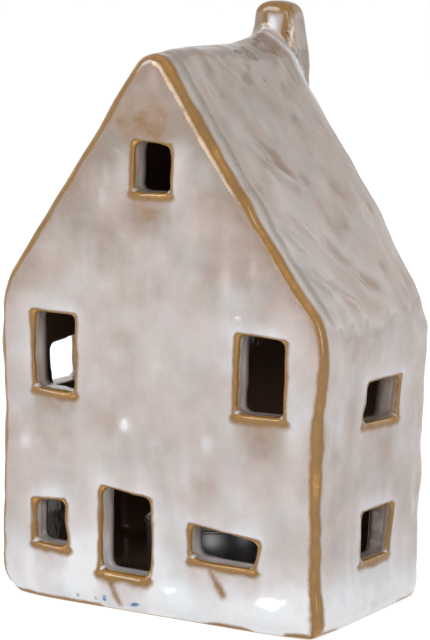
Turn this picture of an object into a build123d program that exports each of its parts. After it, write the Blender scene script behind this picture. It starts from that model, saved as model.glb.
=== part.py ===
# Tealight house, slab-built glazed stoneware, with a tealight standing inside.
# Millimetres, +Z up, the front looks along -Y, and the origin is the middle of the underside.
# Each clay slab is a piece of its own and meets its neighbours face to face, as it was luted.
from build123d import *
import os

os.makedirs("parts", exist_ok=True)

# Clay
slab = 7.5  # thickness of every rolled slab
edge_radius = 3.0  # soft outer edges of the house
foot_radius = 5.0  # lower edges of the two side walls
rim_radius = 1.3  # soft rim round each window
cut_corner_radius = 1.8  # corners of a window cut with a knife

# Tealight, and the room that it has inside
cup_diameter = 38.0
cup_height = 17.0
cup_room_front = 2.0
cup_room_back = 8.0
cup_side_clearance = 3.0  # each side, in the back opening
cup_gap = 0.3  # running gap under the cup
arch_rise = 16.0  # of the back opening above the cup's height

# House
house_width = 110.0
house_depth = slab + cup_room_front + cup_diameter + cup_room_back + slab
half_width = house_width / 2
half_depth = house_depth / 2
ridge_x = -1.1  # the ridge stands a little left of the middle
front_ridge = 167.5  # where the two roof lines would meet, before rounding
back_ridge = 173.5
left_eave_front = 92.8
left_eave_back = 90.2
right_eave_front = 88.6
right_eave_back = 86.1
eave_radius = 22.0
ridge_radius = 6.0
inner_ridge_radius = 3.0
eave_joint_drop = 8.5  # the roof slab is luted on this far below the eave
overrun = 1.0  # cuts run this far past the faces that they cut

# Front openings: distance from the nearer corner of the house, sill height, width and height
attic_side = 48.0
attic_below_ridge = 43.5
attic_width = 11.2
attic_height = 13.6
upper_sill = 62.2
upper_left_side = 12.2
upper_left_width = 12.7
upper_left_height = 22.9
upper_right_side = 11.9
upper_right_width = 15.0
upper_right_height = 23.0
low_left_sill = 15.1
low_left_side = 12.4
low_left_width = 9.2
low_left_height = 13.2
door_sill = 9.8
door_side = 36.4
door_width = 16.2
door_height = 23.6
wide_sill = 17.2
wide_side = 20.9
wide_width = 21.7
wide_height = 9.0

# Side openings: place of the middle along Y from the middle of the house, sill, width and height
right_upper_y = 4.3
right_upper_sill = 57.4
right_upper_width = 17.2
right_upper_height = 11.8
right_lower_y = 2.8
right_lower_sill = 16.2
right_lower_width = 15.8
right_lower_height = 14.4
left_upper_y = -5.3
left_upper_sill = 60.4
left_upper_width = 20.0
left_upper_height = 13.4

# Corners of each hand-cut opening as shares of its width and height, anticlockwise from low left
attic_shares = ((-0.03, 0.00), (1.00, 0.02), (1.02, 0.98), (0.03, 1.04))
upper_left_shares = ((0.02, 0.02), (1.00, 0.00), (1.04, 1.00), (-0.02, 1.01))
upper_right_shares = ((-0.02, 0.00), (0.98, 0.01), (1.01, 0.97), (0.02, 1.01))
low_left_shares = ((0.00, 0.04), (1.08, 0.00), (1.00, 1.03), (0.02, 0.98))
door_shares = ((-0.02, 0.01), (0.99, 0.00), (1.01, 0.97), (0.01, 1.05))
wide_shares = ((0.02, 0.06), (0.94, 0.00), (1.02, 0.80), (0.00, 1.12))
right_upper_shares = ((-0.04, 0.06), (0.96, 0.00), (1.04, 0.98), (0.03, 1.00))
right_lower_shares = ((0.02, 0.03), (0.97, 0.00), (1.02, 1.00), (0.00, 1.02))
left_upper_shares = ((0.02, -0.03), (0.92, 0.00), (1.00, 0.92), (0.00, 1.06))

# Chimney: a block luted to the back gable, standing above the ridge, its foot smoothed into the wall
chimney_foot_width = 20.4
chimney_top_width = 13.4
chimney_depth = 10.4
chimney_x = 1.8
chimney_above_ridge = 3.3  # over the point where the back roof lines would meet
chimney_length = 40.0
chimney_round_share = 0.40  # soft edges, as a share of the depth

# Tealight pieces
cup_wall = 0.5
cup_base = 0.6
cup_flare = 0.7  # the cup is this much wider at its rim than at its foot, in radius
cup_foot_bevel = 0.8
rim_bead = 0.5  # half the thickness of the rolled rim
wax_below_rim = 2.6
wax_dish = 0.6  # the wax sinks this much towards the wick
wick_diameter = 1.8
wick_stand = 8.0  # wick above the wax
wick_tip_shift = 0.9
clip_diameter = 13.0
clip_plate = 0.4
clip_neck_diameter = 4.0
clip_neck = 4.0

# Worked out
inner_half_width = half_width - slab
inner_front = -half_depth + slab
inner_back = half_depth - slab
left_joint = min(left_eave_front, left_eave_back) - eave_joint_drop
right_joint = min(right_eave_front, right_eave_back) - eave_joint_drop
front_plane = Plane.XZ.offset(half_depth)
back_plane = Plane.XZ.offset(-half_depth)
front_joint_plane = Plane.XZ.offset(half_depth - slab)
back_joint_plane = Plane.XZ.offset(-half_depth + slab)
left_plane = Plane(origin=(-half_width, 0, 0), x_dir=(0, -1, 0), z_dir=(-1, 0, 0))
right_plane = Plane(origin=(half_width, 0, 0), x_dir=(0, 1, 0), z_dir=(1, 0, 0))
cup_radius = cup_diameter / 2
cup_y = inner_front + cup_room_front + cup_radius
cup_z = slab + cup_gap
arch_half_width = cup_radius + cup_side_clearance
arch_spring = slab + cup_height

# Each opening: its left end on its wall's plane, sill, width, height and corner shares
front_openings = (
    (attic_side - half_width, front_ridge - attic_below_ridge, attic_width, attic_height, attic_shares),
    (upper_left_side - half_width, upper_sill, upper_left_width, upper_left_height, upper_left_shares),
    (
        half_width - upper_right_side - upper_right_width,
        upper_sill - rim_radius,
        upper_right_width,
        upper_right_height,
        upper_right_shares,
    ),
    (low_left_side - half_width, low_left_sill, low_left_width, low_left_height, low_left_shares),
    (door_side - half_width, door_sill, door_width, door_height, door_shares),
    (half_width - wide_side - wide_width, wide_sill, wide_width, wide_height, wide_shares),
)
left_openings = (
    (
        -left_upper_y - left_upper_width / 2,
        left_upper_sill,
        left_upper_width,
        left_upper_height,
        left_upper_shares,
    ),
)
right_openings = (
    (
        right_upper_y - right_upper_width / 2,
        right_upper_sill,
        right_upper_width,
        right_upper_height,
        right_upper_shares,
    ),
    (
        right_lower_y - right_lower_width / 2,
        right_lower_sill,
        right_lower_width,
        right_lower_height,
        right_lower_shares,
    ),
)


def gable(plane, left_eave, right_eave, ridge, inset):
    """The house seen from the front, drawn inset by a thickness, before its bends are rounded."""
    with BuildSketch(plane) as outline:
        with BuildLine():
            Polyline(
                (-half_width, 0),
                (half_width, 0),
                (half_width, right_eave),
                (ridge_x, ridge),
                (-half_width, left_eave),
                close=True,
            )
        make_face()
        if inset:
            offset(amount=-inset, kind=Kind.INTERSECTION, mode=Mode.REPLACE)
    return outline.sketch


def long_edges(house):
    """The edges that run from front to back, lowest first: two at the base, two eaves, the ridge."""
    ends = house.faces().filter_by(Axis.Y)
    end_edges = ends[0].edges() + ends[1].edges()
    return ShapeList(edge for edge in house.edges() if edge not in end_edges).sort_by(Axis.Z)


def hand_cut(plane, left, sill, width, height, shares):
    """The clay that a knife takes out: four corners, none quite square, each a little round."""
    with BuildPart() as cut:
        with BuildSketch(plane.offset(overrun)) as outline:
            with BuildLine():
                Polyline(*[(left + width * u, sill + height * v) for u, v in shares], close=True)
            make_face()
            fillet(outline.vertices(), radius=cut_corner_radius)
        extrude(amount=-(slab + 2 * overrun))
    return cut.part


def hole_edges(face):
    """The edges of the openings in a face, without its outer boundary."""
    return [edge for wire in face.inner_wires() for edge in wire.edges()]


# Whole outer form: the gable at the back is taller than the one at the front
with BuildPart() as outside:
    add(gable(front_plane, left_eave_front, right_eave_front, front_ridge, 0))
    add(gable(back_plane, left_eave_back, right_eave_back, back_ridge, 0))
    loft(ruled=True)
    fillet(long_edges(outside)[2:4], radius=eave_radius)
    fillet(long_edges(outside)[-1], radius=ridge_radius)
    fillet(long_edges(outside)[:2], radius=foot_radius)
    ends = outside.faces().filter_by(Axis.Y)
    fillet(ShapeList(ends[0].edges() + ends[1].edges()), radius=edge_radius)

# Room inside, one slab in from the outer form all round
with BuildPart() as inside:
    add(gable(front_plane, left_eave_front, right_eave_front, front_ridge, slab))
    add(gable(back_plane, left_eave_back, right_eave_back, back_ridge, slab))
    loft(ruled=True)
    fillet(long_edges(inside)[2:4], radius=eave_radius - slab)
    fillet(long_edges(inside)[-1], radius=inner_ridge_radius)

# Ring of slabs between the two gables, still in one
with BuildPart() as ring:
    add(outside.part)
    split(bisect_by=front_joint_plane, keep=Keep.BOTTOM)
    split(bisect_by=back_joint_plane, keep=Keep.TOP)
    add(inside.part, mode=Mode.SUBTRACT)

# Front gable slab with its door and five windows
with BuildPart() as front_wall:
    add(outside.part)
    split(bisect_by=front_joint_plane, keep=Keep.TOP)
    for opening in front_openings:
        add(hand_cut(front_plane, *opening), mode=Mode.SUBTRACT)
    fillet(hole_edges(front_wall.faces().filter_by(Axis.Y).sort_by(Axis.Y)[0]), radius=rim_radius)

front_wall.part.label = "front_wall"
export_step(front_wall.part, "parts/front_wall.step")

# Back gable slab with the arch that the tealight goes in through
with BuildPart() as back_wall:
    add(outside.part)
    split(bisect_by=back_joint_plane, keep=Keep.BOTTOM)
    with BuildSketch(back_plane.offset(-overrun)):
        with BuildLine():
            Polyline(
                (arch_half_width, arch_spring),
                (arch_half_width, slab),
                (-arch_half_width, slab),
                (-arch_half_width, arch_spring),
            )
            EllipticalCenterArc((0, arch_spring), arch_half_width, arch_rise, arc_size=180)
        make_face()
    extrude(amount=slab + 2 * overrun, mode=Mode.SUBTRACT)
    fillet(hole_edges(back_wall.faces().filter_by(Axis.Y).sort_by(Axis.Y)[-1]), radius=rim_radius)

back_wall.part.label = "back_wall"
export_step(back_wall.part, "parts/back_wall.step")

# Left wall with its one upper window
with BuildPart() as left_wall:
    add(ring.part)
    split(bisect_by=Plane.YZ.offset(-inner_half_width), keep=Keep.BOTTOM)
    split(bisect_by=Plane.XY.offset(left_joint), keep=Keep.BOTTOM)
    for opening in left_openings:
        add(hand_cut(left_plane, *opening), mode=Mode.SUBTRACT)
    fillet(hole_edges(left_wall.faces().filter_by(Axis.X).sort_by(Axis.X)[0]), radius=rim_radius)

left_wall.part.label = "left_wall"
export_step(left_wall.part, "parts/left_wall.step")

# Right wall with its two windows
with BuildPart() as right_wall:
    add(ring.part)
    split(bisect_by=Plane.YZ.offset(inner_half_width), keep=Keep.TOP)
    split(bisect_by=Plane.XY.offset(right_joint), keep=Keep.BOTTOM)
    for opening in right_openings:
        add(hand_cut(right_plane, *opening), mode=Mode.SUBTRACT)
    fillet(hole_edges(right_wall.faces().filter_by(Axis.X).sort_by(Axis.X)[-1]), radius=rim_radius)

right_wall.part.label = "right_wall"
export_step(right_wall.part, "parts/right_wall.step")

# Roof slabs: bent at the eave, mitred against each other along the ridge
with BuildPart() as left_roof:
    add(ring.part)
    split(bisect_by=Plane.YZ.offset(ridge_x), keep=Keep.BOTTOM)
    split(bisect_by=Plane.XY.offset(left_joint), keep=Keep.TOP)

left_roof.part.label = "left_roof"
export_step(left_roof.part, "parts/left_roof.step")

with BuildPart() as right_roof:
    add(ring.part)
    split(bisect_by=Plane.YZ.offset(ridge_x), keep=Keep.TOP)
    split(bisect_by=Plane.XY.offset(right_joint), keep=Keep.TOP)

right_roof.part.label = "right_roof"
export_step(right_roof.part, "parts/right_roof.step")

# Floor slab, set in between the four walls
with BuildPart() as floor_slab:
    with BuildSketch(Plane.XY):
        Rectangle(2 * inner_half_width, inner_back - inner_front)
    extrude(amount=slab)

floor_slab.part.label = "floor_slab"
export_step(floor_slab.part, "parts/floor_slab.step")

# Chimney block, narrower towards its domed top, with soft corners and a foot that slopes into the wall
chimney_top = back_ridge + chimney_above_ridge
chimney_foot = chimney_top - chimney_length
with BuildPart() as chimney:
    with BuildSketch(Plane.XZ.offset(-half_depth)):
        with BuildLine():
            Polyline(
                (chimney_x - chimney_foot_width / 2, chimney_foot),
                (chimney_x + chimney_foot_width / 2, chimney_foot),
                (chimney_x + chimney_top_width / 2, chimney_top),
                (chimney_x - chimney_top_width / 2, chimney_top),
                close=True,
            )
        make_face()
    extrude(amount=-chimney_depth)
    with BuildSketch(Plane.YZ.offset(chimney_x)):
        with BuildLine():
            Polyline(
                (half_depth, chimney_foot),
                (half_depth + chimney_depth, chimney_foot + chimney_depth),
                (half_depth + chimney_depth, chimney_top),
                (half_depth, chimney_top),
                close=True,
            )
        make_face()
    extrude(amount=chimney_foot_width / 2, both=True, mode=Mode.INTERSECT)
    on_wall = chimney.faces().sort_by(Axis.Y)[0].edges()
    free_edges = ShapeList(edge for edge in chimney.edges() if edge not in on_wall)
    fillet(free_edges, radius=chimney_depth * chimney_round_share)

chimney.part.label = "chimney"
export_step(chimney.part, "parts/chimney.step")

# Tealight cup: thin pressed aluminium, a little wider at the rolled rim
foot_outer = cup_radius - rim_bead - cup_flare
rim_outer = cup_radius - rim_bead + cup_wall / 2
rim_z = cup_height - rim_bead
tealight_axis = Axis((0, cup_y, 0), (0, 0, 1))
section_plane = Plane(origin=(0, cup_y, cup_z), x_dir=(1, 0, 0), z_dir=(0, -1, 0))
with BuildPart() as candle_cup:
    with BuildSketch(section_plane) as cup_section:
        with BuildLine():
            Polyline(
                (0, 0),
                (foot_outer, 0),
                (rim_outer, rim_z),
                (rim_outer - cup_wall, rim_z),
                (foot_outer - cup_wall, cup_base),
                (0, cup_base),
                close=True,
            )
        make_face()
        chamfer(cup_section.vertices().group_by(Axis.Y)[0].sort_by(Axis.X)[-1], length=cup_foot_bevel)
        with Locations((rim_outer - cup_wall / 2, rim_z)):
            Rectangle(2 * rim_bead, 2 * rim_bead)
        chamfer(cup_section.vertices().group_by(Axis.Y)[-1], length=rim_bead / 2)
    revolve(axis=tealight_axis)

candle_cup.part.label = "candle_cup"
export_step(candle_cup.part, "parts/candle_cup.step")

# Wick clip: a small tinned plate with a neck that grips the wick
with BuildPart() as wick_clip:
    with BuildSketch(Plane.XY.offset(cup_z + cup_base)):
        with Locations((0, cup_y)):
            Circle(clip_diameter / 2)
    extrude(amount=clip_plate)
    with BuildSketch(Plane.XY.offset(cup_z + cup_base)):
        with Locations((0, cup_y)):
            Circle(clip_neck_diameter / 2)
    extrude(amount=clip_neck)
    with BuildSketch(Plane.XY.offset(cup_z + cup_base)):
        with Locations((0, cup_y)):
            Circle(wick_diameter / 2)
    extrude(amount=clip_neck, mode=Mode.SUBTRACT)

wick_clip.part.label = "wick_clip"
export_step(wick_clip.part, "parts/wick_clip.step")

# Wick: waxed cotton from the clip up through the wax, leaning at its free end
wax_top = cup_z + cup_height - wax_below_rim
wick_foot = cup_z + cup_base
with BuildPart() as wick:
    with BuildSketch(Plane.XY.offset(wick_foot)):
        with Locations((0, cup_y)):
            Circle(wick_diameter / 2)
    extrude(amount=wax_top - wick_foot)
    with BuildSketch(Plane.XY.offset(wax_top)):
        with Locations((0, cup_y)):
            Circle(wick_diameter / 2)
    with BuildSketch(Plane.XY.offset(wax_top + wick_stand)):
        with Locations((wick_tip_shift, cup_y)):
            Circle(wick_diameter / 2)
    loft()

wick.part.label = "wick"
export_step(wick.part, "parts/wick.step")

# Wax: fills the cup, dished towards the wick
wax_height = cup_height - wax_below_rim
wall_run = (rim_outer - foot_outer) * (wax_height - cup_base) / (rim_z - cup_base)
with BuildPart() as candle_wax:
    with BuildSketch(section_plane):
        with BuildLine():
            Polyline(
                (0, wax_height - wax_dish),
                (0, cup_base),
                (foot_outer - cup_wall, cup_base),
                (foot_outer - cup_wall + wall_run, wax_height),
                (foot_outer / 2, wax_height - wax_dish * 3 / 4),
                close=True,
            )
        make_face()
    revolve(axis=tealight_axis)
    add(wick_clip.part, mode=Mode.SUBTRACT)
    add(wick.part, mode=Mode.SUBTRACT)

candle_wax.part.label = "candle_wax"
export_step(candle_wax.part, "parts/candle_wax.step")
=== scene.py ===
# Tealight house of glazed stoneware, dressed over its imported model
# Metres in Blender; the dictionaries give millimetres, with the front gable towards -Y
from math import cos, pi, radians, sin

import bmesh
import bpy
import numpy as np
from mathutils import Matrix, Vector


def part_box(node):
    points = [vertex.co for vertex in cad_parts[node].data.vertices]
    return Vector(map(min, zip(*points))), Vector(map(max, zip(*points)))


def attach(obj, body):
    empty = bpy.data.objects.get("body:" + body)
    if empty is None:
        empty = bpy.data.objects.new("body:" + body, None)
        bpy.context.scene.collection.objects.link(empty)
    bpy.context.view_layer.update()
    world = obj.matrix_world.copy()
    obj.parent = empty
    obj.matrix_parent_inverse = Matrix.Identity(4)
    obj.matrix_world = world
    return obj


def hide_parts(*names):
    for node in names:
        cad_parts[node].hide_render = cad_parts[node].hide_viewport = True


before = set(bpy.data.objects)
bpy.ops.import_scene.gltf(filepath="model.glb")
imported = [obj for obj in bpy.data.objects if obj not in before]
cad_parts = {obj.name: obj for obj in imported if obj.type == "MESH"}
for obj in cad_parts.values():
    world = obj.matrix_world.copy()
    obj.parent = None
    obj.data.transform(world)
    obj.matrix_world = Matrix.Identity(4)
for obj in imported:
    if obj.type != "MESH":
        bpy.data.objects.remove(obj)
scene = bpy.context.scene
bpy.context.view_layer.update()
mm = 0.001
print("frame loaded:", len(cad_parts), "nodes")

# Camera at the photograph's viewing angle
view = {
    "azimuth": 31.57,
    "elevation": 9.15,
    "roll": 0.149,
    "distance": 801.5,
    "aim": (0.967, 0.0, 84.809),
    "lens": 150.0,  # on a frame 36 high
    "frameHeight": 36.0,
}
cameraData = bpy.data.cameras.new("studioCamera")
cameraData.sensor_fit = "VERTICAL"
cameraData.sensor_height = view["frameHeight"]
cameraData.lens = view["lens"]
cameraData.clip_start = 0.01
cameraData.clip_end = 20.0
camera = bpy.data.objects.new("studioCamera", cameraData)
scene.collection.objects.link(camera)
turn = (
    Matrix.Rotation(radians(view["azimuth"]), 4, "Z")
    @ Matrix.Rotation(radians(90 - view["elevation"]), 4, "X")
    @ Matrix.Rotation(radians(view["roll"]), 4, "Z")
)
away = turn.to_3x3() @ Vector((0, 0, view["distance"] * mm))
camera.matrix_world = Matrix.Translation(Vector(view["aim"]) * mm + away) @ turn
scene.camera = camera
scene.view_settings.view_transform = "Standard"
print("camera placed")


# Small tools

def hexColour(code):  # sRGB hex to linear RGBA
    parts = [int(code[i:i + 2], 16) / 255 for i in (1, 3, 5)]
    return tuple(c / 12.92 if c <= 0.04045 else ((c + 0.055) / 1.055) ** 2.4 for c in parts) + (1.0,)


def addNode(tree, kind, inputs=None, output=0, **settings):  # sets or links the inputs, gives back an output
    node = tree.nodes.new("ShaderNode" + kind)
    for name, value in settings.items():
        setattr(node, name, value)
    for socket, value in (inputs or {}).items():
        if isinstance(value, bpy.types.NodeSocket):
            tree.links.new(value, node.inputs[socket])
        else:
            node.inputs[socket].default_value = value
    return node.outputs[output] if node.outputs else node


def newMaterial(name):
    material = bpy.data.materials.new(name)
    material.use_nodes = True
    material.node_tree.nodes.clear()
    return material, material.node_tree


def meshFrom(shape, name):
    mesh = bpy.data.meshes.new(name)
    shape.to_mesh(mesh)
    shape.free()
    return mesh


def objectFrom(name, mesh):
    piece = bpy.data.objects.new(name, mesh)
    scene.collection.objects.link(piece)
    return piece


def ease(low, high, value):  # 0 below low, 1 above high, soft between
    t = np.clip((value - low) / (high - low), 0, 1)
    return t * t * (3 - 2 * t)


def lumpNoise(places, size, seed):  # smooth noise from -1 to 1 with lumps of about that size
    grid = np.random.default_rng(seed).uniform(-1, 1, (32, 32, 32))
    q = places / size + 64
    cell = np.floor(q).astype(int)
    f = q - cell
    f = f * f * (3 - 2 * f)
    total = np.zeros(len(places))
    for i in (0, 1):
        for j in (0, 1):
            for k in (0, 1):
                share = (f[:, 0] if i else 1 - f[:, 0]) * (f[:, 1] if j else 1 - f[:, 1])
                share = share * (f[:, 2] if k else 1 - f[:, 2])
                at = (cell + (i, j, k)) % 32
                total += share * grid[at[:, 0], at[:, 1], at[:, 2]]
    return total


def gapToLines(u, v, points, closed=True):  # distance from an outline; negative inside a closed one
    best = np.full(u.shape, 1e9)
    inside = np.full(u.shape, closed)
    ends = points[1:] + points[:1] if closed else points[1:]
    for (ax, ay), (bx, by) in zip(points, ends):
        ex, ey = bx - ax, by - ay
        t = np.clip(((u - ax) * ex + (v - ay) * ey) / (ex * ex + ey * ey), 0, 1)
        best = np.minimum(best, np.hypot(u - ax - ex * t, v - ay - ey * t))
        inside &= ex * (v - ay) - ey * (u - ax) > 0
    return np.where(inside, -best, best)


def hump(value):  # 1 at 0, falling softly away on both sides
    return np.exp(-np.square(value))


def lowered(values, least, where):
    return np.where(where, np.minimum(values, least), values)


def raised(values, most, where):
    return np.where(where, np.maximum(values, most), values)


def spotOn(u, v, atU, atV, wide, tall):  # a soft oval spot of that half width and half height
    return np.exp(-np.square((u - atU) / wide) - np.square((v - atV) / tall))


# The clay house: its slabs as one blank, formed and coloured together, then parted at the joints

house = {
    "halfWidth": 55.0,
    "halfDepth": 31.5,
    "slab": 7.5,
    "ridgeX": -1.1,
    "ridge": (167.5, 173.5),  # front and back, where the roof lines would meet
    "leftEave": (92.8, 90.2),
    "rightEave": (88.6, 86.1),
    "eaveRadius": 22.0, "ridgeRadius": 6.0,
    "leftJoint": 81.7, "rightJoint": 77.6,
    "voxel": 0.8, "smoothing": 4, "chimneySmoothing": 26,
}
claySlabs = (
    "front_wall", "back_wall", "left_wall", "right_wall", "left_roof", "right_roof", "floor_slab", "chimney",
)

# Corners of each hand-cut window, anticlockwise from low left, on its wall
frontWindows = {
    "attic": [(-7.3, 124.0), (4.2, 124.3), (4.4, 137.3), (-6.7, 138.1)],
    "upperLeft": [(-42.5, 62.7), (-30.1, 62.2), (-29.6, 85.1), (-43.1, 85.3)],
    "upperRight": [(27.8, 60.9), (42.8, 61.1), (43.3, 83.2), (28.4, 84.1)],
    "lowLeft": [(-42.6, 15.6), (-32.7, 15.1), (-33.4, 28.7), (-42.4, 28.0)],
    "door": [(-18.9, 10.0), (-2.6, 9.8), (-2.2, 32.7), (-18.4, 34.6)],
    "wide": [(12.8, 17.7), (32.8, 17.2), (34.5, 24.4), (12.4, 27.3)],
}
rightWindows = {  # along Y
    "rightUpper": [(-5.0, 58.1), (12.2, 57.4), (13.6, 69.0), (-3.8, 69.2)],
    "rightLower": [(-4.8, 16.6), (10.2, 16.2), (11.0, 30.6), (-5.1, 30.9)],
}
leftWindows = {  # along -Y
    "leftUpper": [(-4.3, 60.0), (13.7, 60.4), (15.3, 72.7), (-4.7, 74.6)],
}
arch = {"halfWidth": 22.0, "foot": 7.5, "spring": 24.5, "rise": 16.0, "behind": 20.0}

# The chimney: where its edges are smoothed, and its runs of glaze
stack = {
    "middleX": 1.8, "halfWide": 10.6, "frontY": 26.0,
    "softHeight": 158.0, "softDepth": 32.2,  # smoothed higher and farther back than this,
    "ridgeHeight": 168.0, "ridgeDepth": 29.0,  # and than this by the ridge
    "crownFrom": 6.0, "crownFull": 2.0,  # below its top
    "brownX": -0.6, "brownGap": 2.2,
    "creamX": 7.3, "creamLean": 0.14, "creamWide": 0.42,
    "collar": 1.1,
}


def gableLine(end):  # the rounded outline of a gable, from the left foot over the ridge to the right foot
    half, radius = house["halfWidth"], house["eaveRadius"]
    corners = [
        (-half, 0.0, 0.0), (-half, house["leftEave"][end], radius),
        (house["ridgeX"], house["ridge"][end], house["ridgeRadius"]),
        (half, house["rightEave"][end], radius), (half, 0.0, 0.0),
    ]
    line = [corners[0][:2]]
    for before, (x, z, radius), after in zip(corners, corners[1:], corners[2:]):
        inward = Vector((x - before[0], z - before[1])).normalized()
        outward = Vector((after[0] - x, after[1] - z)).normalized()
        bend = inward.angle(outward)
        reach = radius * np.tan(bend / 2)
        start = Vector((x, z)) - inward * reach
        side = Vector((inward.y, -inward.x))
        centre = start + side * radius
        for step in range(9):
            a = bend * step / 8
            line.append(tuple(centre - side * radius * cos(a) + inward * radius * sin(a)))
    return line + [corners[-1][:2]]


def archLine():
    line = [(arch["halfWidth"], arch["foot"])]
    for step in range(13):
        a = pi * step / 12
        line.append((arch["halfWidth"] * cos(a), arch["spring"] + arch["rise"] * sin(a)))
    return line + [(-arch["halfWidth"], arch["foot"])]


blank = bmesh.new()
for name in claySlabs:
    blank.from_mesh(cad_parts[name].data)
bmesh.ops.remove_doubles(blank, verts=blank.verts, dist=1e-6)
rawClay = objectFrom("clayRaw", meshFrom(blank, "clayRaw"))
remesh = rawClay.modifiers.new("joinSlabs", "REMESH")
remesh.mode = "VOXEL"
remesh.voxel_size = house["voxel"] * mm
blankMesh = bpy.data.meshes.new_from_object(rawClay.evaluated_get(bpy.context.evaluated_depsgraph_get()))
bpy.data.objects.remove(rawClay)
blank = bmesh.new()
blank.from_mesh(blankMesh)


def smoothBlank(part, turns):
    for each in range(turns):
        bmesh.ops.smooth_vert(
            blank, verts=part, factor=0.5, use_axis_x=True, use_axis_y=True, use_axis_z=True
        )


smoothBlank(blank.verts, house["smoothing"])
softHeight, softDepth = stack["softHeight"] * mm, stack["softDepth"] * mm
ridgeHeight, ridgeDepth = stack["ridgeHeight"] * mm, stack["ridgeDepth"] * mm
soft = [v for v in blank.verts if v.co.z > softHeight and v.co.y > softDepth]
byRidge = [v for v in blank.verts if v.co.z > ridgeHeight and ridgeDepth < v.co.y <= softDepth]
soft += [v for v in byRidge if abs(v.co.x - stack["middleX"] * mm) < stack["halfWide"] * mm]
smoothBlank(soft, house["chimneySmoothing"])
blank.to_mesh(blankMesh)
blank.free()
print("clay blank:", len(blankMesh.vertices), "vertices")


def readAll(items, what, width=1, kind=np.float32):  # one property of every vertex, corner or face
    values = np.empty(len(items) * width, kind)
    items.foreach_get(what, values)
    return values.reshape(-1, width) if width > 1 else values


def setPlaces(mesh, places):
    mesh.vertices.foreach_set("co", np.ascontiguousarray(places, np.float32).ravel())
    mesh.update()


def keepValues(name, values):  # as an attribute of the blank
    kind, what = ("FLOAT_VECTOR", "vector") if values.ndim == 2 else ("FLOAT", "value")
    layer = blankMesh.attributes.new(name, kind, "POINT")
    layer.data.foreach_set(what, np.ascontiguousarray(values, np.float32).ravel())


rest = readAll(blankMesh.vertices, "co", 3, float) / mm
normal = readAll(blankMesh.vertex_normals, "vector", 3).astype(float)
x, y, z = rest.T
nx, ny, nz = normal.T
halfWidth, halfDepth = house["halfWidth"], house["halfDepth"]
along = np.clip((y + halfDepth) / (2 * halfDepth), 0, 1)  # 0 at the front, 1 at the back


def roofDepth(side):  # depth below one roof face
    eaves = house["leftEave"] if side < 0 else house["rightEave"]
    eave = eaves[0] + (eaves[1] - eaves[0]) * along
    ridge = house["ridge"][0] + (house["ridge"][1] - house["ridge"][0]) * along
    run = halfWidth + house["ridgeX"] * -side
    rise = ridge - eave
    return (rise * (halfWidth - side * x) - run * (z - eave)) / np.hypot(run, rise)


frontDepth = y + halfDepth
backDepth = halfDepth - y
roofDepths = np.minimum(roofDepth(-1), roofDepth(1))
depth = np.minimum.reduce([frontDepth, backDepth, x + halfWidth, halfWidth - x, roofDepths])
onChimney = ease(halfDepth + 0.2, halfDepth + 0.8, y)
aboveGable = gapToLines(x, z, gableLine(1)[::-1])
chimneyPlan = (y > stack["frontY"]) & (np.abs(x - stack["middleX"]) < stack["halfWide"])
onChimney = np.maximum(onChimney, ease(0.6, 1.6, aboveGable) * chimneyPlan)
# the inner walls and the deeper part of the jambs take a dark colour: a darker inner glaze and painted shade
inside = ease(4.4, 7.2, depth) * (1 - onChimney)
outer = 1 - ease(2.0, 4.0, depth)
onRoof = ease(0.28, 0.5, nz) * outer * (1 - onChimney)
onGable = ease(0.5, 0.8, np.abs(ny))


# Each wall with windows: outlines, place along it, depth behind its face, where it is, its direction
walls = (
    (frontWindows, x, frontDepth, y < -20, (1, 0)),
    (rightWindows, y, halfWidth - x, x > 42, (0, 1)),
    (leftWindows, -y, halfWidth + x, x < -42, (0, -1)),
)
windowSets = [(name, corners, *wall) for windows, *wall in walls for name, corners in windows.items()]

# How far each hand-cut opening spreads past its straight outline: left, right, sill and head
spreads = {
    "attic": (0.4, 0.5, -0.2, 0.6), "upperLeft": (0.3, 1.35, -0.6, 1.0), "upperRight": (0.4, 0.2, -1.3, 1.2),
    "lowLeft": (0.9, 0.75, 0.0, 0.6), "door": (0.5, -0.2, -0.2, 0.4), "wide": (0.4, 0.5, 0.0, 0.3),
    "rightUpper": (0.3, 0.3, 0.0, 0.3), "rightLower": (0.3, 0.3, 0.0, 0.3), "leftUpper": (2.6, 0.3, 0.0, 0.3),
}
rims = {
    "face": 1.25, "jamb": 1.0, "belowSill": 0.9,  # amber on the face, on the jamb and, added, below the sill
    "headShare": 0.3,  # how much thinner it is over the head
    "faceDepth": 3.0,
    "lipMiddle": 0.7, "lipWide": 0.9, "lipLift": 0.45, "lipHeadShare": 0.6,  # the rim stands proud
    "haloReach": 5.0, "haloLeast": 0.25,  # pale glaze round the opening, least below it
    "runReach": 5.0, "sideRun": 0.55,  # thin glaze running from the sill, less on the side walls
    "spreadReach": 4.5,
    "darkBehind": 1.9, "darkWide": 0.5,  # a line of thin glaze on the jamb
    "beadFullness": (1.0, 0.75), "beadSize": 1.2, "beadBehind": 1.2, "beadLong": 1.6,
    "beadLean": 0.7, "beadLift": 0.55,
}
edgeBreak = np.full(len(x), 9.0)
halo, veil, darkLine, sideJambShade, beads = (np.zeros(len(x)) for each in range(5))
formed = rest.copy()
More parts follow.
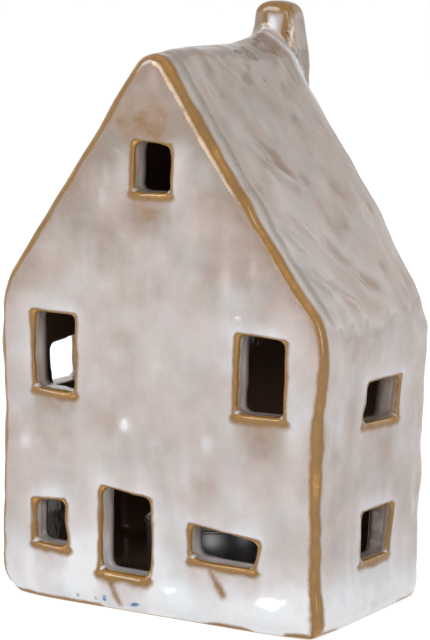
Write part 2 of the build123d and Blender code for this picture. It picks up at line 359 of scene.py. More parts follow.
for name, corners, u, behind, near, (ux, uy) in windowSets:
    gap = gapToLines(u, z, corners)
    beyond = np.maximum(gap, 0)
    left, right = min(corners[0][0], corners[3][0]), max(corners[1][0], corners[2][0])
    sill, head = (corners[0][1] + corners[1][1]) / 2, (corners[2][1] + corners[3][1]) / 2
    underSill, overHead = ease(0, 1, sill - z), ease(0, 1, z - head)
    wide = rims["face"] * (1 - rims["headShare"] * overHead) + rims["belowSill"] * underSill
    toEdge = np.hypot(beyond / wide, behind / rims["jamb"])
    edgeBreak = lowered(edgeBreak, toEdge, near)
    onFace = near & (behind < rims["faceDepth"])
    outward = np.abs(nx * uy + ny * ux)
    lip = hump((gap - rims["lipMiddle"]) / rims["lipWide"]) * onFace * ease(0.3, 0.8, outward)
    formed += normal * (rims["lipLift"] * lip * (1 - rims["lipHeadShare"] * overHead))[:, None]
    upward = ease(sill - 2, head + 2, z)
    ring = hump(beyond / rims["haloReach"]) * (rims["haloLeast"] + (1 - rims["haloLeast"]) * upward)
    halo = raised(halo, ring, onFace)
    below = (1.0 if ux else rims["sideRun"]) * ease(0, 1.5, sill - z)
    below = below * np.exp(-np.maximum(sill - z, 0) / rims["runReach"])
    within = ease(left - 2.5, left + 1.0, u) * (1 - ease(right - 1.0, right + 2.5, u))
    veil = raised(veil, below * within, onFace)
    middle = ((left + right) / 2, (sill + head) / 2)
    toLeft, toRight, toSill, toHead = spreads[name]
    acrossU = np.clip((u - middle[0]) * 2 / (right - left), -1, 1)
    acrossZ = np.clip((z - middle[1]) * 2 / (head - sill), -1, 1)
    hold = hump(beyond / rims["spreadReach"]) * near
    shiftU = np.where(acrossU > 0, acrossU * toRight, acrossU * toLeft) * hold
    formed += shiftU[:, None] * (ux, uy, 0)
    formed[:, 2] += np.where(acrossZ > 0, acrossZ * toHead, acrossZ * toSill) * hold
    onJamb = near & (outward < 0.5) & (gap < 0.5)
    if uy:  # painted shade: the side windows' jambs darken deeper in
        sideJambShade = raised(sideJambShade, ease(0.8, 2.2, behind), onJamb)
    thinLine = hump((behind - rims["darkBehind"]) / rims["darkWide"])
    darkLine = raised(darkLine, thinLine, onJamb)
    for (cornerU, cornerZ), fullness in zip(corners[:2], rims["beadFullness"]):  # beads by the sill
        nearCorner = hump(np.hypot(u - cornerU, z - cornerZ) / rims["beadSize"] / fullness)
        nearCorner *= hump((behind - rims["beadBehind"]) / rims["beadLong"]) * near
        beads = np.maximum(beads, nearCorner)
        towards = np.sign(middle[0] - cornerU) * rims["beadLean"]
        lift = nearCorner * rims["beadLift"] * fullness
        formed += lift[:, None] * (towards * ux, towards * uy, rims["beadLean"])

archGap = gapToLines(x, z, archLine())
toArch = np.hypot(np.maximum(archGap, 0) / rims["face"], backDepth / rims["jamb"])
edgeBreak = lowered(edgeBreak, toArch, y > arch["behind"])

# Glaze breaks to amber along the gables' edges, thinner at the back and wider towards the right foot
edges = {
    "reach": 6.0, "overhang": 2.0,
    "frontBand": 2.1, "frontMiddle": 0.6, "backBand": 0.9, "backMiddle": -1.0,
    "leftMiddle": -0.5, "leftWallShift": 0.35, "leftShare": 0.85,
    "least": 0.6, "swing": 0.22, "swingSize": 7.0,  # no thinner than this, and how far that wanders
    "paleMiddle": 3.0, "paleHalf": 17.0,  # the bead of glaze by the chimney stays pale
    "footSpread": 0.15, "footSpreadTop": 22.0,
    "foot": 1.3, "footTop": 6.0, "footLeast": 0.2, "footGap": 1.5, "footGapSize": 13.0,
    "veilReach": 4.5, "veilShare": 0.75,
    "creamMiddle": -2.1, "creamNarrowShift": 0.6, "creamBand": 0.95, "creamLine": 0.22, "creamLift": 0.35,
}
uneven = edges["least"] + edges["swing"] * lumpNoise(rest, edges["swingSize"], 41)
for end, side, behind in ((0, "front", frontDepth), (1, "back", backDepth)):
    band, middleLine = edges[side + "Band"], edges[side + "Middle"]
    fromEdge = gapToLines(x, z, gableLine(end), closed=False)
    across = behind - fromEdge
    nearEdge = (behind < edges["reach"]) & (fromEdge < edges["reach"]) & (behind > -edges["overhang"])
    nearEdge &= onChimney < 0.3
    spread = 1 + edges["footSpread"] * ease(edges["footSpreadTop"], 0, z)
    spread = np.where(x > 0, spread, edges["leftShare"])
    if end == 0:
        onSlope = ease(0, 6, house["ridgeX"] - x) * ease(84, 98, z)
        middleLine = middleLine + (edges["leftMiddle"] - middleLine) * onSlope
        middleLine = middleLine - edges["leftWallShift"] * ease(20, 40, -x) * (1 - onSlope)
        fade = np.exp(-np.maximum(fromEdge - 2, 0) / edges["veilReach"]) * (behind < rims["faceDepth"])
        veil = np.maximum(veil, edges["veilShare"] * (fade * ease(70, 100, z)))
        broad = ease(123, 130, z)  # a pale lip inside the right slope's edge, a little raised; its cream colour is a painted highlight
        lipWide = edges["creamLine"] + (edges["creamBand"] - edges["creamLine"]) * broad
        lipMiddle = edges["creamMiddle"] + edges["creamNarrowShift"] * (1 - broad)
        stripe = hump((across - lipMiddle) / lipWide) * (behind < rims["faceDepth"]) * (x > -1.0)
        creamLipAndHighlight = stripe * (0.3 * ease(96, 110, z) + 0.7 * ease(119, 125, z))
    else:
        nearEdge &= np.abs(x - edges["paleMiddle"]) > edges["paleHalf"]
    fromBand = np.maximum(np.abs(across - middleLine) / (band * spread), uneven)
    edgeBreak = lowered(edgeBreak, fromBand, nearEdge)
onFoot = (outer > 0.5) & (z < edges["footTop"])
footGaps = ease(-0.25, 0.3, lumpNoise(rest, edges["footGapSize"], 33))
footLine = np.maximum(z, 0) / edges["foot"] + edges["footLeast"] + edges["footGap"] * footGaps
edgeBreak = lowered(edgeBreak, footLine, onFoot)

# Thin runs from the door and the wide window: start, end and width
drips = {"doorDrip": ((-15.8, 8.4), (-12.1, 2.3), 1.2), "wideDrip": ((18.3, 15.2), (23.6, 8.7), 1.3)}
for start, end, wide in drips.values():
    alongDrip = gapToLines(x, z, [start, end], closed=False) / wide
    edgeBreak = lowered(edgeBreak, 0.9 + 0.5 * alongDrip, frontDepth < 2.5)
edgeBreak = np.maximum(edgeBreak, 2.2 * ease(0.3, 0.85, beads))

# Places on the front where the glaze nearly breaks: x, z, half width, half height, how near
umber = {
    "apex": (-3.5, 144, 14, 9, 1.15),
    "underAttic": (-2, 118, 8, 5.5, 1.3),
    "underUpperRight": (36, 55.5, 6, 3.5, 1.4),
    "underUpperLeft": (-36, 58, 6, 2.5, 1.45),
    "besideRightSlope": (33, 101, 3, 9, 1.4),
}
for atX, atZ, wide, tall, least in umber.values():
    fromSpot = np.square((x - atX) / wide) + np.square((z - atZ) / tall)
    edgeBreak = lowered(edgeBreak, least + 0.5 * fromSpot, frontDepth < 2)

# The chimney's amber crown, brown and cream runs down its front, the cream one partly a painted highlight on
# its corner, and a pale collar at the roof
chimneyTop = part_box("chimney")[1][2] / mm
crown = ease(chimneyTop - stack["crownFrom"], chimneyTop - stack["crownFull"], z)
edgeBreak = lowered(edgeBreak, 1.9 - 1.15 * crown, crown > 0)
chimneyFront = onChimney * ease(0.3, 0.7, -ny)
creamX = stack["creamX"] + (z - 160) * stack["creamLean"]
for streakX, reach, least in ((stack["brownX"], 0.8, 0.5), (creamX - stack["brownGap"], 1.2, 0.6)):
    fromStreak = np.abs(x - streakX) / reach
    edgeBreak = lowered(edgeBreak, least + 0.6 * fromStreak, chimneyFront > 0.2)
umberLeft = chimneyFront * ease(0.4, -1.8, x) * ease(146, 152, z)
edgeBreak = lowered(edgeBreak, 1.75 - 0.57 * umberLeft, umberLeft > 0.05)
# a cream run down the chimney's right corner, partly a painted highlight
creamRunAndHighlight = onChimney * spotOn(x, y, creamX, 32, stack["creamWide"], 1.3) * ease(157, 161, z)
creamLipAndHighlight = np.maximum(creamLipAndHighlight, creamRunAndHighlight)
collar = hump(gapToLines(x, z, gableLine(1), closed=False) / stack["collar"]) * chimneyFront * (z > 140)
edgeBreak = np.maximum(edgeBreak, 2.4 * ease(0.2, 0.6, collar))

# Lumps and dents of hand-rolled clay under a thick glaze
clay = {
    "lump": 0.40, "lumpSize": 23.0,
    "dent": 0.55, "dentSize": 9.5,
    "ripple": 0.26, "rippleSize": 4.6,
    "chimneyCalm": 0.85,
    "roofStreak": 0.22, "sideStreak": 0.34, "streakWide": 3.8, "streakLong": 9.0,
    "footSquare": 0.6,
    "footRoll": 1.0, "footRollHeight": 5.5, "footRollReach": 4.2, "footRollSwing": 0.5, "footRollSize": 15.0,
    "cornerCalm": 0.75, "cornerReach": 7.0,
    "frontGroove": 0.55, "frontGrooveWide": 0.8, "backGroove": 0.30, "backGrooveWide": 1.0,
    "grooveShade": 0.85,
    "markLift": 1.5,
}
swell = clay["lump"] * lumpNoise(rest, clay["lumpSize"], 3)
relief = clay["dent"] * lumpNoise(rest, clay["dentSize"], 8)
relief += clay["ripple"] * lumpNoise(rest, clay["rippleSize"], 5)
relief *= outer * ease(7, 13, z) * (1 - clay["chimneyCalm"] * onChimney)
swell += relief
streakShape = (clay["streakLong"], clay["streakWide"], clay["streakLong"])
onSide = ease(0.6, 0.9, np.abs(nx)) * outer * (1 - onRoof)
swell += (clay["roofStreak"] * onRoof + clay["sideStreak"] * onSide) * lumpNoise(rest / streakShape, 1.0, 12)
upright = 1 - ease(0.3, 0.8, np.abs(nz))
footRoll = hump((z - clay["footRollHeight"]) / clay["footRollReach"]) * upright * outer
atCorner = spotOn(np.abs(x), np.abs(y), halfWidth, halfDepth, clay["cornerReach"], clay["cornerReach"])
footRoll *= 1 - clay["cornerCalm"] * atCorner
rollSwing = 1 + clay["footRollSwing"] * lumpNoise(rest, clay["footRollSize"], 21)
swell += clay["footRoll"] * footRoll * rollSwing
swell += edges["creamLift"] * creamLipAndHighlight

# Grooves where the gable slabs are luted on, and the bead of glaze along the back gable by the chimney
joint = halfDepth - house["slab"]
frontGroove = y + joint + 0.3
swell -= clay["frontGroove"] * onRoof * hump(frontGroove / clay["frontGrooveWide"])
swell -= clay["backGroove"] * onRoof * hump((y - joint) / clay["backGrooveWide"])
byChimney = hump((x - 4) / 13)
rollOfGlaze = onRoof * byChimney * hump((y - halfDepth + 1.5) / 1.4)
swell += 0.9 * rollOfGlaze + 0.3 * collar

# Ridges and dents that the rolling left on the right slope: y, z, half width, half length, turn, lift
roofMarks = {
    "ridgeA": (-6.3, 128.8, 1.3, 4.5, 40, 0.8),
    "ridgeB": (-17.5, 111.8, 1.2, 4.0, 55, 0.7),
    "ridgeC": (-17.8, 99.5, 1.3, 5.0, 50, 0.8),
    "ridgeD": (-9.2, 94.4, 1.1, 3.5, 30, 0.6),
    "ridgeE": (-10.5, 115.2, 1.4, 4.0, 60, 0.6),
    "dentA": (-6.0, 131.6, 1.6, 4.5, 45, -0.7),
    "dentB": (-2.2, 107.4, 1.5, 4.0, 60, -0.6),
    "dentC": (5.0, 98.2, 1.5, 4.5, 40, -0.6),
    "dentD": (-6.8, 135.9, 1.4, 3.5, 50, -0.5),
}
markLightAndShade = np.zeros(len(x))
for markY, markZ, wide, long, turnOf, lift in roofMarks.values():
    a = radians(turnOf)
    offY, offZ = y - markY, z - markZ
    alongMark = offY * cos(a) - offZ * sin(a)
    acrossMark = offY * sin(a) + offZ * cos(a)
    mark = spotOn(alongMark, acrossMark, 0, 0, long, wide) * onRoof * (x > 2)
    swell += clay["markLift"] * lift * mark
    markLightAndShade += lift * mark

# Drops of glaze on the front: x, z, half width, half height, lift, whiteness
drops = {
    "upperDrop": (-18.2, 121.9, 1.6, 3.4, 0.7, 0.35),
    "upperRun": (-17.0, 128.0, 1.0, 5.0, 0.0, 0.12),
    "middleDrop": (-10.7, 54.9, 1.7, 2.0, 0.9, 1.0),
    "middleRing": (-10.7, 56.5, 3.2, 5.0, -0.4, 0.0),
    "sideDrop": (-46.2, 46.5, 2.0, 3.0, 0.7, 0.5),
    "ringRise": (-13.1, 75.7, 2.6, 3.4, 0.7, 0.18),
    "ringDent": (-13.1, 75.7, 1.2, 1.7, -1.0, 0.0),
    "underWide": (21.5, 12.0, 2.4, 3.0, 0.5, 0.0),
    "footMiddle": (5.0, 5.1, 5.6, 3.0, 1.25, 0.2),
    "footRight": (39.1, 5.2, 9.0, 3.4, 1.0, 0.2),
    "runAboveLow": (-34.0, 40.0, 5.0, 1.6, 0.5, 0.12),
    "runAboveWide": (10.0, 42.0, 2.0, 6.0, 0.45, 0.1),
    "slopeRise": (12.0, 99.0, 2.2, 5.0, 0.45, 0.05),
    "leftRise": (-38.0, 50.0, 3.0, 3.0, 0.4, 0.0),
    "rightDrop": (17.8, 52.5, 2.0, 2.8, 0.8, 0.42),
    "slopeRunA": (23.9, 100.6, 1.5, 4.5, 0.6, 0.28),
    "slopeRunB": (33.0, 103.5, 1.4, 4.5, 0.6, 0.30),
    "leftRun": (-21.4, 105.5, 1.6, 5.0, 0.5, 0.18),
    "belowRing": (-4.5, 68.0, 1.8, 2.6, 0.55, 0.06),
    "upperMiddle": (2.5, 112.0, 1.6, 5.0, 0.45, 0.08),
}
onFront = ease(0.6, 0.9, -ny) * (frontDepth < rims["faceDepth"])
# a painted highlight: a soft white spot on the chimney's front
chimneyHighlight = chimneyFront * spotOn(x, z, 1.9, 170, 1.6, 2.6)
# the ridges of the roof marks are made paler as painted highlights
thickGlazeAndHighlight = 1.1 * rollOfGlaze + 0.08 * beads + 1.3 * chimneyHighlight + 0.8 * collar + 0.35 * np.maximum(markLightAndShade, 0)
for dropX, dropZ, wide, tall, lift, whiteness in drops.values():
    spot = spotOn(x, z, dropX, dropZ, wide, tall) * onFront
    swell += lift * spot
    thickGlazeAndHighlight = np.maximum(thickGlazeAndHighlight, spot * whiteness)

# Where the glaze lay thin and brown, or pooled white, on the front: x, z, half width, half height, change
patches = {
    "apex": (-3, 142, 10, 7, -1.0), "apexPale": (-6, 153, 2.5, 4, 0.22), "underAttic": (-2, 117, 7, 6, -0.34),
    "rightSlope": (31, 106, 7, 13, -0.20), "underUpperLeft": (-36, 57, 7, 5, -0.06),
    "underUpperRight": (36, 55, 7, 6, -0.24), "leftSlope": (-30, 112, 8, 12, -0.12),
    "centreRight": (18, 102, 11, 12, -0.18), "centreLeft": (-16, 112, 8, 9, -0.20),
    "overUpperLeft": (-40, 90, 7, 4, 0.10), "overUpperRight": (24, 88, 8, 3, 0.06),
    "leftEdge": (-48, 32, 6, 20, 0.10), "besideDoor": (-25, 26, 4, 12, 0.14),
    "overWide": (20, 34, 12, 6, 0.10), "rightEdge": (47, 48, 4, 28, 0.12),
    "besideAttic": (8, 130, 3, 9, 0.16), "leftOfAttic": (-11, 134, 2.5, 8, 0.14),
}
# the chimney's left side is browner glaze; its right side is darkened as painted shade
patch = -0.54 * onChimney * ease(0.0, -1.6, x) - 0.18 * onChimney * ease(5.0, 8.0, x) - 0.6 * darkLine
# the dents of the roof marks are darkened as painted shade, and the side windows' jambs too
patch += 0.30 * np.minimum(markLightAndShade, 0) - 0.32 * sideJambShade
# painted shade: a darker line on the roof just in front of the roll of glaze by the chimney
patch -= 0.22 * onRoof * byChimney * hump((y - halfDepth + 5.0) / 1.6)
for patchX, patchZ, wide, tall, change in patches.values():
    patch += change * spotOn(x, z, patchX, patchZ, wide, tall) * onFront

onLeftSlope = onRoof * (x < house["ridgeX"])
amount = swell * (outer + 0.35 * (1 - outer)) * ease(0.3, 4.0, z) * (1 - 0.7 * onLeftSlope)
formed += normal * amount[:, None]

# The warp that drying and firing gave the slabs: how far each side lies from its straight form, by height
warp = {
    "footRise": 1.8, "footTop": 12.0,
    "cornerRise": 0.9, "cornerWide": 11.0, "cornerDeep": 9.0,
    "rightSlope": 0.68, "leftSlope": 0.69,  # width lost for each height over the eave
    "edgeReach": (-12, -3), "ridgeReach": (138, 160),
    "chimneyRise": 0.4, "chimneyBelly": 0.8,
    "leftHeight": [
        0.0, 0.9, 2.5, 5.0, 10.0, 23.0, 32.0, 37.0, 49.0, 60.0, 81.0, 93.0, 110.0, 135.0, 150.0, 165.0,
    ],
    "left": [2.6, 1.8, 0.2, -1.0, -1.7, -1.1, -0.9, -1.0, -0.2, -1.0, -1.4, -1.3, -1.7, -1.5, -1.8, -1.0],
    "rightHeight": [0.0, 2.7, 12.5, 28.6, 40.5, 60.5, 71.2, 83.0, 88.6, 94.2, 105.0],
    "rightFront": [-0.1, -0.1, -1.0, -0.9, -1.3, -0.8, 0.7, 1.7, 1.7, 0.9, 0.0],
    "backHeight": [0.0, 11.5, 20.0, 28.5, 50.0, 73.7, 80.0, 86.2, 97.0, 114.0, 125.0, 137.0, 151.0, 161.0],
    "rightBack": [0.3, -0.1, 0.3, 1.4, 1.8, 2.4, 2.7, 2.8, 3.4, 5.2, 5.3, 4.4, 3.6, 3.5],
    "ridgeDepth": [-31.5, -17.6, -6.9, 2.9, 13.2, 21.1, 26.0, 31.5],
    "ridge": [1.0, 0.9, 0.3, -0.7, -1.6, -1.3, -1.0, -0.4],
}
nearSide = {}
for side, name in ((1, "right"), (-1, "left")):
    low, high = house[name + "Eave"]
    rise = np.maximum(z - (low * (1 - along) + high * along), 0)
    edgeLine = halfWidth - rise * warp[name + "Slope"]
    nearSide[name] = ease(*warp["edgeReach"], side * x - edgeLine) * (1 - onChimney)
nearRight, nearLeft = nearSide["right"], nearSide["left"]
rightFront = np.interp(z, warp["rightHeight"], warp["rightFront"])
rightBack = np.interp(z, warp["backHeight"], warp["rightBack"])
rightShift = rightFront * (1 - ease(0.1, 1.0, along)) + rightBack * ease(0.1, 1.0, along)
leftShift = np.interp(z, warp["leftHeight"], warp["left"])
formed[:, 0] += rightShift * nearRight * (1 - nearLeft) + leftShift * nearLeft * (1 - nearRight)
formed[:, 0] += warp["chimneyBelly"] * onChimney * ease(5, 9, x) * hump((z - 160) / 7)
formed[:, 2] += warp["chimneyRise"] * onChimney * ease(160, 175, z)
nearRidge = ease(*warp["ridgeReach"], z) * (1 - onChimney)
formed[:, 2] += np.interp(y, warp["ridgeDepth"], warp["ridge"]) * nearRidge
overFoot = ease(0, warp["footTop"], z)
formed[:, 2] += warp["footRise"] * overFoot
frontCorner = hump((np.abs(x) - halfWidth) / warp["cornerWide"]) * hump((y + halfDepth) / warp["cornerDeep"])
formed[:, 2] += warp["cornerRise"] * frontCorner * (1 - overFoot)

# The round lower edges stand squarer than in the solids
squareFoot = clay["footSquare"] * (1 - np.sqrt(np.clip(1 - np.square(1 - np.clip(z, 0, 4) / 4), 0, 1))) * 4
formed[:, 0] += np.sign(x) * squareFoot * ease(44, 51, np.abs(x))
formed[:, 1] += np.sign(y) * squareFoot * ease(21, 28, np.abs(y)) * (1 - onChimney)
formed[:, 2] = np.maximum(formed[:, 2], 0)

keepValues("formed", formed * mm)
painted = {
    "edgeBreak": edgeBreak, "halo": halo, "veil": veil, "relief": relief, "patch": patch, "creamLipAndHighlight": creamLipAndHighlight,
    "inside": inside, "onRoof": onRoof, "onGable": onGable, "thickGlazeAndHighlight": thickGlazeAndHighlight,
    "groove": clay["grooveShade"] * onRoof * hump(frontGroove),
# the luted groove on the roof: thinner greenish glaze with painted shade in it
}
for name, values in painted.items():
    keepValues(name, values)

# Shading normals of the whole formed house, so that its pieces meet without a line
setPlaces(blankMesh, formed * mm)
keepValues("formedNormal", readAll(blankMesh.vertex_normals, "vector", 3))
setPlaces(blankMesh, rest * mm)
print("clay formed")


def cutAway(piece, place, direction):  # removes what lies on that side and closes the cut
    everything = piece.verts[:] + piece.edges[:] + piece.faces[:]
    result = bmesh.ops.bisect_plane(
        piece, geom=everything, plane_co=Vector(place) * mm, plane_no=direction, clear_outer=True, dist=1e-7
    )
    rim = [g for g in result["geom_cut"] if isinstance(g, bmesh.types.BMEdge)]
    if rim:
        seam = piece.faces.layers.int["seam"]
        filled = bmesh.ops.triangle_fill(piece, use_beauty=True, edges=rim, normal=direction)
        for g in filled["geom"]:
            if isinstance(g, bmesh.types.BMFace):
                g[seam] = 1


cutInset = 0.4  # the cuts pass just inside the slabs' inner faces
innerY = joint - cutInset
innerX = halfWidth - house["slab"] - cutInset
underChimney = (0, halfDepth + 0.15, 165)
chimneyTilt = 0.0375  # the chimney's joint leans with the back gable
leftTop = (0, 0, house["leftJoint"])
rightTop = (0, 0, house["rightJoint"])
ridgeLine = (house["ridgeX"], 0, 0)
between = [((0, -innerY, 0), (0, -1, 0)), ((0, innerY, 0), (0, 1, 0))]
pieceCuts = {
    "front_wall": [((0, -innerY, 0), (0, 1, 0))],
    "back_wall": [((0, innerY, 0), (0, -1, 0)), (underChimney, (0, 1, chimneyTilt))],
    "chimney": [(underChimney, (0, -1, -chimneyTilt))],
    "left_wall": between + [(leftTop, (0, 0, 1)), ((-innerX, 0, 0), (1, 0, 0))],
    "right_wall": between + [(rightTop, (0, 0, 1)), ((innerX, 0, 0), (-1, 0, 0))],
    "left_roof": between + [(leftTop, (0, 0, -1)), (ridgeLine, (1, 0, 0))],
    "right_roof": between + [(rightTop, (0, 0, -1)), (ridgeLine, (-1, 0, 0))],
    "floor_slab": between + [
        ((-innerX, 0, 0), (-1, 0, 0)), ((innerX, 0, 0), (1, 0, 0)), ((0, 0, 30), (0, 0, 1)),
    ],
}


def partClay(node, material):  # cuts one slab out of the blank and gives it its formed places and normals
    piece = bmesh.new()
    piece.from_mesh(blankMesh)
    piece.faces.layers.int.new("seam")
    for place, direction in pieceCuts[node]:
        cutAway(piece, place, direction)
    bmesh.ops.recalc_face_normals(piece, faces=piece.faces)
    for face in piece.faces:
        face.smooth = True
    mesh = meshFrom(piece, node + "_glazed")
    setPlaces(mesh, readAll(mesh.attributes["formed"].data, "vector", 3))
    vertexNormal = readAll(mesh.attributes["formedNormal"].data, "vector", 3)
    cornerNormal = vertexNormal[readAll(mesh.loops, "vertex_index", kind=np.int32)]
    seam = readAll(mesh.attributes["seam"].data, "value", kind=np.int32)
    corners = readAll(mesh.polygons, "loop_total", kind=np.int32)
    faceNormal = readAll(mesh.polygon_normals, "vector", 3)
    onCap = np.repeat(seam > 0, corners)
    cornerNormal[onCap] = np.repeat(faceNormal, corners, axis=0)[onCap]
    cornerNormal /= np.maximum(np.linalg.norm(cornerNormal, axis=1), 1e-6)[:, None]
    mesh.normals_split_custom_set(cornerNormal)
    for used in ("formed", "formedNormal", "seam"):
        mesh.attributes.remove(mesh.attributes[used])
    mesh.materials.append(material)
    shaped = objectFrom(node + "_glazed", mesh)
    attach(shaped, "house")
    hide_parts(node)
    return shaped


def rampOf(tree, source, stops):  # a colour ramp with its stops as position and hex
    ramp = addNode(tree, "ValToRGB", {0: source})
    elements = ramp.node.color_ramp.elements
    elements[0].position, elements[0].color = stops[0][0], hexColour(stops[0][1])
    elements[1].position, elements[1].color = stops[-1][0], hexColour(stops[-1][1])
    for position, code in stops[1:-1]:
        elements.new(position).color = hexColour(code)
    return ramp


# Stoneware under a milky glaze: thick glaze is pale and glossy, thin glaze over edges breaks to amber
glaze = {
    "milk": [
        (0.0, "#846B55"), (0.2, "#A18E82"), (0.4, "#B8ABA5"),
        (0.55, "#C5BCB9"), (0.75, "#D7D5D8"), (1.0, "#F0F3F7"),
    ],
    # the bright gold near 0.15 paints a highlight along the crests of the window rims
    "break": [
        (0.0, "#9C7034"), (0.08, "#C28D42"), (0.15, "#E6B468"), (0.23, "#BC883F"), (0.36, "#9C7030"),
        (0.52, "#8B662E"), (0.7, "#8F6C43"), (0.85, "#9F8065"), (1.0, "#B3A092"),
    ],
    "tint": [(0.36, "#CDBCB5"), (0.5, "#CAC1BD"), (0.64, "#C2C7C8")],
    "tintShare": 0.26,
    "creamLipAndHighlight": "#EBCBAA",
    "insideGlazeAndShade": "#6A5342",
    "bareClay": "#C9B597",
    "grooveGlazeAndShade": "#8F8C7C",
    "noises": {  # metres and detail
        "broad": (0.020, 2.0), "cloud": (0.009, 3.0), "fringe": (0.005, 2.0), "mottle": (0.0012, 2.0),
        "ripple": (0.0025, 1.0), "tint": (0.012, 2.0),
    },
    "streakWide": 0.0045, "streakLong": 0.016,
    "milkMiddle": 0.42, "roofCalm": 0.5,
    "ranges": {  # where each begins and is full; the first three are heights
        "foot": (0.030, 0.004), "top": (0.105, 0.165), "wiped": (0.0007, 0.0002),
        "creamLipAndHighlight": (0.15, 0.39), "amber": (1.75, 0.85),
    },
    "shares": {"broad": 0.40, "cloud": 0.42, "streak": 0.22, "mottle": 0.08},
    "weights": {  # how much paler or browner each makes it
        "halo": 0.31, "veil": -1.05, "patch": 1.0, "relief": -0.17,
        # onRoof darkens the roof: partly thinner glaze there, partly painted shade where the roof turns from
        # the lamps
        "foot": 0.56, "top": -0.20, "onRoof": -0.18, "thickGlazeAndHighlight": 0.85,
    },
    "breakScale": 0.66,
    "wander": 0.7, "wanderBack": 0.45, "fine": 0.2,  # how far the amber's border strays
    "roughLeast": 0.06, "roughSwing": 0.12, "bareRough": 0.5,
    "peel": 0.22, "peelDeep": 0.0004,  # orange peel
}


def glazedStoneware():
    material, tree = newMaterial("glazed_stoneware")
    place = addNode(tree, "TexCoord", output="Object")
    height = addNode(tree, "SeparateXYZ", {0: place}, output="Z")
    read = {}
    for name in painted:
        read[name] = addNode(tree, "Attribute", output="Fac", attribute_name=name)
    noise = {}
    for name, (size, detail) in glaze["noises"].items():
        noise[name] = addNode(tree, "TexNoise", {"Scale": 1 / size, "Detail": detail, "Vector": place})
    streaks = []
    for scale in (("Wide", "Long", "Long"), ("Long", "Wide", "Long")):  # on gables, then on sides and roof
        size = [1 / glaze["streak" + s] for s in scale]
        stretched = addNode(tree, "Mapping", {"Scale": size, "Vector": place})
        streaks.append(addNode(tree, "TexNoise", {"Scale": 1.0, "Detail": 3.0, "Vector": stretched}))
    onGables, elsewhere = streaks
    noise["streak"] = addNode(tree, "Mix", {0: read["onGable"], 2: elsewhere, 3: onGables}, data_type="FLOAT")

    # How thin the glaze is, with an uneven border, and where each look begins and is full
    wander = addNode(
        tree, "Math", {0: noise["fringe"], 1: glaze["wander"], 2: -glaze["wanderBack"]},
        operation="MULTIPLY_ADD",
    )
    fine = addNode(tree, "Math", {0: noise["mottle"], 1: glaze["fine"], 2: wander}, operation="MULTIPLY_ADD")
    thin = addNode(tree, "Math", {0: read["edgeBreak"], 1: fine}, operation="ADD")
    lip = addNode(tree, "Math", {0: read["creamLipAndHighlight"], 1: noise["fringe"]}, operation="MULTIPLY")
    share = {"foot": height, "top": height, "wiped": height, "creamLipAndHighlight": lip, "amber": thin}
    for name, (none, full) in glaze["ranges"].items():
        share[name] = addNode(
            tree, "MapRange", {"From Min": none, "From Max": full, "Value": share[name]},
            interpolation_type="SMOOTHSTEP",
        )

    # How much milky glaze lies on each place
    milk = 0.0
    for name, weight in glaze["shares"].items():
        centred = addNode(tree, "Math", {0: noise[name], 1: 0.5}, operation="SUBTRACT")
        milk = addNode(tree, "Math", {0: centred, 1: weight, 2: milk}, operation="MULTIPLY_ADD")
    onRoof, calm = read["onRoof"], -glaze["roofCalm"]
    calmer = addNode(tree, "Math", {0: onRoof, 1: calm, 2: 1.0}, operation="MULTIPLY_ADD")
    milk = addNode(tree, "Math", {0: milk, 1: calmer, 2: glaze["milkMiddle"]}, operation="MULTIPLY_ADD")
    sources = {**read, **share}
    sources["veil"] = addNode(tree, "Math", {0: read["veil"], 1: noise["streak"]}, operation="MULTIPLY")
    for name, weight in glaze["weights"].items():
        milk = addNode(tree, "Math", {0: sources[name], 1: weight, 2: milk}, operation="MULTIPLY_ADD")
    tint = rampOf(tree, noise["tint"], glaze["tint"])
    colour = rampOf(tree, milk, glaze["milk"])
    colour = addNode(tree, "Mix", {0: glaze["tintShare"], 6: colour, 7: tint}, output=2, data_type="RGBA")

    # Over it: thin glaze with painted shade in the luted grooves, the pale lip's painted highlight, amber
    # edges with a painted highlight on the rims' crests, the dark inside partly painted shade, bare clay,
    # specks
    breakPlace = addNode(tree, "Math", {0: thin, 1: glaze["breakScale"]}, operation="MULTIPLY")
    layers = [
        (read["groove"], hexColour(glaze["grooveGlazeAndShade"])), (share["creamLipAndHighlight"], hexColour(glaze["creamLipAndHighlight"])),
        (share["amber"], rampOf(tree, breakPlace, glaze["break"])),
        (read["inside"], hexColour(glaze["insideGlazeAndShade"])), (share["wiped"], hexColour(glaze["bareClay"])),
    ]
    for dotX, dotY, dotZ, radius, code in specks:
        dot = (dotX * mm, dotY * mm, dotZ * mm)
        toDot = addNode(tree, "VectorMath", {0: place, 1: dot}, output="Value", operation="DISTANCE")
        within = addNode(
            tree, "MapRange",
            {"From Min": radius * mm * 1.25, "From Max": radius * mm * 0.75, "Value": toDot},
            interpolation_type="SMOOTHSTEP",
        )
        layers.append((within, hexColour(code)))
    for layer, top in layers:
        colour = addNode(tree, "Mix", {0: layer, 6: colour, 7: top}, output=2, data_type="RGBA")

    # Glossy but a little uneven, with the orange peel of a thick glaze
    gloss = addNode(
        tree, "Math", {0: noise["cloud"], 1: glaze["roughSwing"], 2: glaze["roughLeast"]},
        operation="MULTIPLY_ADD",
    )
    roughness = addNode(
        tree, "Math", {0: share["wiped"], 1: glaze["bareRough"], 2: gloss}, operation="MULTIPLY_ADD"
    )
    orangePeel = addNode(
        tree, "Bump", {"Strength": glaze["peel"], "Distance": glaze["peelDeep"], "Height": noise["ripple"]}
    )
    shader = addNode(tree, "BsdfPrincipled", {
        "IOR": 1.5, "Coat Weight": 0.0, "Base Color": colour, "Roughness": roughness, "Normal": orangePeel,
    })
    addNode(tree, "OutputMaterial", {"Surface": shader})
    return material


